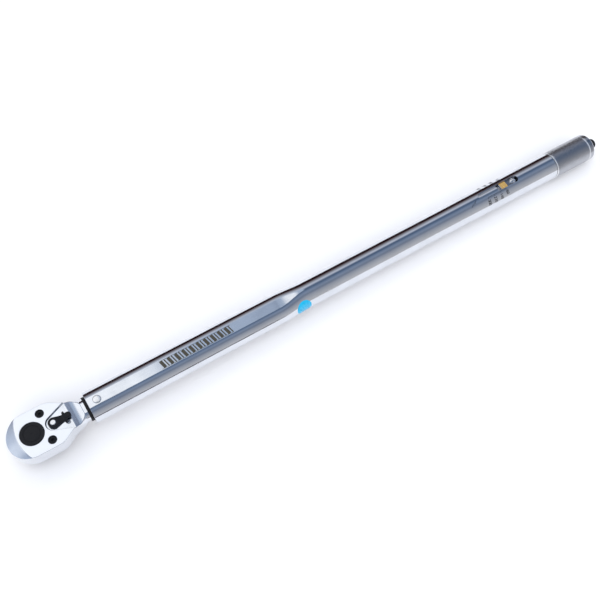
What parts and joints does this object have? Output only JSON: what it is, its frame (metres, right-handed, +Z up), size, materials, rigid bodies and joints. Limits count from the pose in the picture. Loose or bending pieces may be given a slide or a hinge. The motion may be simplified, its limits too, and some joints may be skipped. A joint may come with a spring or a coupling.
{
  "type": "torque wrench",
  "caption": "Click-type torque wrench with a reversible square-drive ratchet head, flattened front tube, window scale with pointer and a turning adjuster knob at the end.",
  "frame": {"origin": "centre of the square drive's end face", "axes": "+X along the tool from the ratchet head to the handle end, +Z up the drive axis from the square to the reversing lever"},
  "size_m": [0.7012, 0.0422, 0.0436],
  "materials": {
    "chrome_tube": "polished",
    "chrome_head": "polished",
    "satin_chrome": "satin",
    "bright_steel": "polished",
    "dark_steel": "satin",
    "black_steel": "black oxide, semi-gloss",
    "black_rubber": "matt",
    "cyan_sticker": "gloss",
    "bronze": "satin",
    "brass": "polished"
  },
  "bodies": {
    "handle": {"tube": "chrome_tube", "pivot_pin": "bright_steel", "pivot_washers": "bronze", "neck_seal": "black_rubber", "check_sticker": "cyan_sticker", "rear_bush": "dark_steel", "rear_bearing_race": "bright_steel"},
    "head": {"ratchet_head": "chrome_head", "pivot_bush": "bronze", "cover_plate": "chrome_head", "cover_screws": "black_steel", "detent_spring": "bright_steel"},
    "detent": {"detent_ball": "bright_steel"},
    "drive": {"drive_gear": "black_steel", "gear_o_ring": "black_rubber", "drive_ball_spring": "bright_steel"},
    "socket_ball": {"drive_ball": "bright_steel"},
    "lever": {"reverse_lever": "black_steel", "lever_shaft": "bright_steel", "pusher_spring": "bright_steel"},
    "pusher": {"pawl_pusher": "bright_steel"},
    "pawl": {"pawl": "dark_steel"},
    "plunger": {"plunger": "dark_steel", "push_rod": "dark_steel", "front_spring_seat": "dark_steel"},
    "tilt_block": {"tilt_block": "dark_steel"},
    "adjuster": {"lead_screw": "dark_steel", "front_bearing_race": "bright_steel", "knob": "satin_chrome", "knob_pin": "dark_steel", "end_cap": "satin_chrome"},
    "bearing": {"bearing_balls": "bright_steel"},
    "nut": {"rear_spring_seat": "dark_steel", "main_spring": "dark_steel", "adjusting_nut": "bright_steel", "indicator": "brass", "indicator_screw": "bright_steel"},
    "lock": {"lock_knob": "black_steel"}
  },
  "joints": [
    {"name": "head_click", "type": "hinge", "parent": "handle", "child": "head", "pos_m": [0.061, 0, 0.0284], "axis": [0, 0, 1], "range_deg": [-1.5, 1.5], "stiffness_Nm_per_rad": 40},
    {"name": "drive_turn", "type": "hinge", "parent": "head", "child": "drive", "pos_m": [0, 0, 0], "axis": [0, 0, 1], "continuous": true},
    {"name": "socket_ball_press", "type": "slide", "parent": "drive", "child": "socket_ball", "axis": [1, 0, 0], "range_m": [0, 0.0009], "stiffness_N_per_m": 1500, "deforming": ["drive_ball_spring"]},
    {"name": "lever_swing", "type": "hinge", "parent": "head", "child": "lever", "pos_m": [0.0195, 0, 0.0284], "axis": [0, 0, 1], "range_deg": [-20, 20]},
    {"name": "pawl_shift", "type": "hinge", "parent": "head", "child": "pawl", "pos_m": [0, 0, 0.0284], "axis": [0, 0, 1], "range_deg": [-7, 7]},
    {"name": "pusher_press", "type": "slide", "parent": "lever", "child": "pusher", "axis": [1, 0, 0], "range_m": [0, 0.0006], "stiffness_N_per_m": 500, "deforming": ["pusher_spring"]},
    {"name": "detent_press", "type": "slide", "parent": "head", "child": "detent", "axis": [0, 0, -1], "range_m": [0, 0.0005], "stiffness_N_per_m": 500, "deforming": ["detent_spring"]},
    {"name": "plunger_slide", "type": "slide", "parent": "handle", "child": "plunger", "axis": [1, 0, 0], "range_m": [0, 0.002], "stiffness_N_per_m": 30000, "deforming": ["main_spring"]},
    {"name": "block_tilt", "type": "hinge", "parent": "plunger", "child": "tilt_block", "pos_m": [0.221, 0, 0.0284], "axis": [0, 0, 1], "range_deg": [-23.2, 23.2]},
    {"name": "knob_turn", "type": "hinge", "parent": "handle", "child": "adjuster", "pos_m": [0.635, 0, 0.0284], "axis": [1, 0, 0], "range_deg": [0, 3060]},
    {"name": "bearing_roll", "type": "hinge", "parent": "handle", "child": "bearing", "pos_m": [0.5745, 0, 0.0284], "axis": [1, 0, 0], "range_deg": [0, 1530]},
    {"name": "nut_travel", "type": "slide", "parent": "handle", "child": "nut", "axis": [1, 0, 0], "range_m": [-0.0255, 0], "deforming": ["main_spring"]},
    {"name": "lock_turn", "type": "hinge", "parent": "adjuster", "child": "lock", "pos_m": [0.673, 0, 0.0284], "axis": [1, 0, 0], "range_deg": [0, 180]}
  ],
  "couplings": [
    {"joint": "pawl_shift", "follows": "lever_swing", "ratio": -0.35},
    {"joint": "block_tilt", "follows": "head_click", "ratio": -15.4},
    {"joint": "nut_travel", "follows": "knob_turn", "m_per_rad": -0.00047746},
    {"joint": "bearing_roll", "follows": "knob_turn", "ratio": 0.5}
  ]
}
